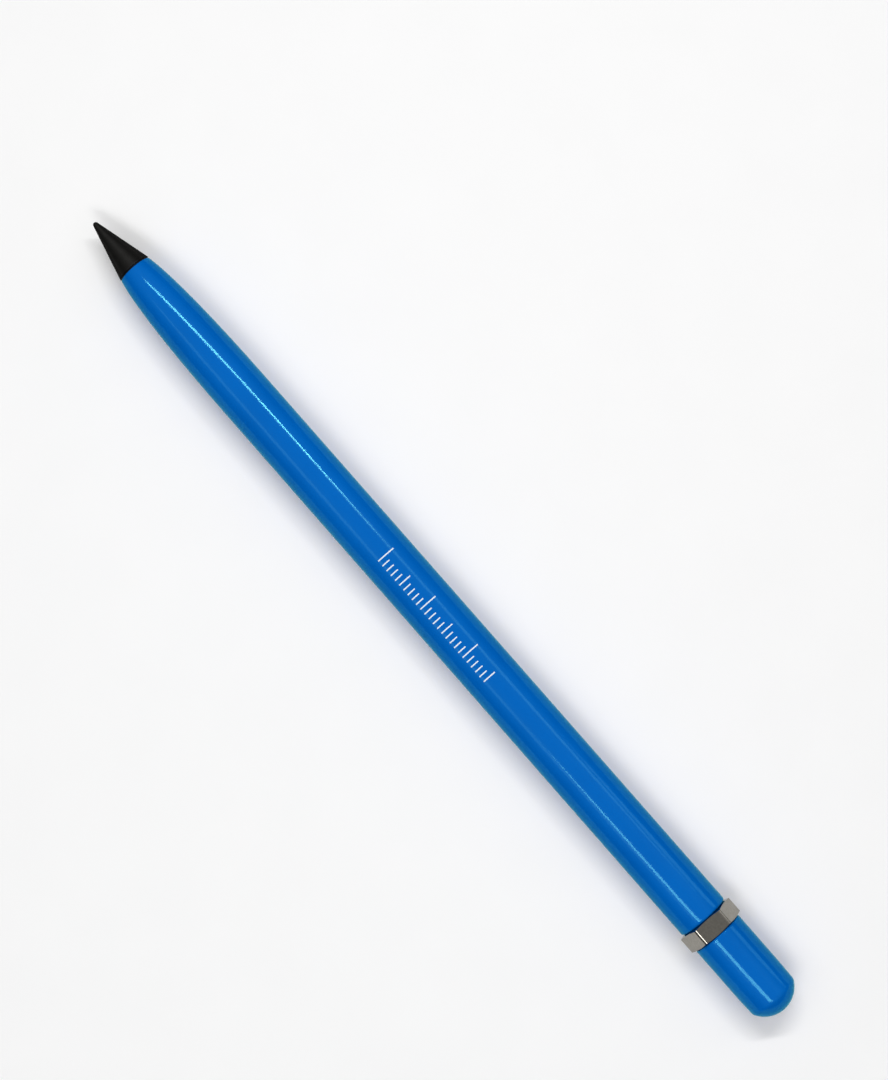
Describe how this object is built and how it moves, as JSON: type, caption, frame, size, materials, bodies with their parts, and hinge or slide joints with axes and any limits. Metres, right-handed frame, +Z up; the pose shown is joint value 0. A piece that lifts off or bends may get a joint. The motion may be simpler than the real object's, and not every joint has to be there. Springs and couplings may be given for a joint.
{
  "type": "inkless pencil",
  "caption": "Inkless metal pencil with a screw-in graphite-composite nib, tapered lacquered barrel, hexagonal anti-roll ring and screw-on domed end cap.",
  "frame": {"origin": "on the surface the pencil lies on, under its axis, half way between the tip and the domed end", "axes": "+X along the pencil from the tip towards the cap, +Z up, square to the ring flat that it lies on"},
  "size_m": [0.165, 0.01, 0.0088],
  "materials": {
    "graphite": "satin",
    "brass": "satin",
    "black_nylon": "satin",
    "blue_lacquer": "gloss",
    "nickel": "polished"
  },
  "bodies": {
    "barrel": {"barrel": "blue_lacquer", "nose_bush": "brass", "tail_bush": "brass"},
    "washer": {"nib_washer": "black_nylon"},
    "nib": {"nib_tip": "graphite", "nib_stud": "brass"},
    "ring": {"hex_ring": "nickel"},
    "cap": {"end_cap": "blue_lacquer", "cap_stud": "brass"}
  },
  "joints": [
    {"name": "nib_advance", "type": "slide", "parent": "barrel", "child": "washer", "axis": [-1, 0, 0], "range_m": [0, 0.0048]},
    {"name": "nib_turn", "type": "hinge", "parent": "washer", "child": "nib", "pos_m": [-0.07268, 0, 0.0044], "axis": [-1, 0, 0], "range_deg": [0, 2880]},
    {"name": "ring_advance", "type": "slide", "parent": "barrel", "child": "ring", "axis": [1, 0, 0], "range_m": [0, 0.0064]},
    {"name": "cap_turn", "type": "hinge", "parent": "ring", "child": "cap", "pos_m": [0.06682, 0, 0.0044], "axis": [1, 0, 0], "range_deg": [0, 2880]}
  ],
  "couplings": [
    {"joint": "nib_turn", "follows": "nib_advance", "rad_per_m": 10472},
    {"joint": "cap_turn", "follows": "ring_advance", "rad_per_m": 7854}
  ]
}
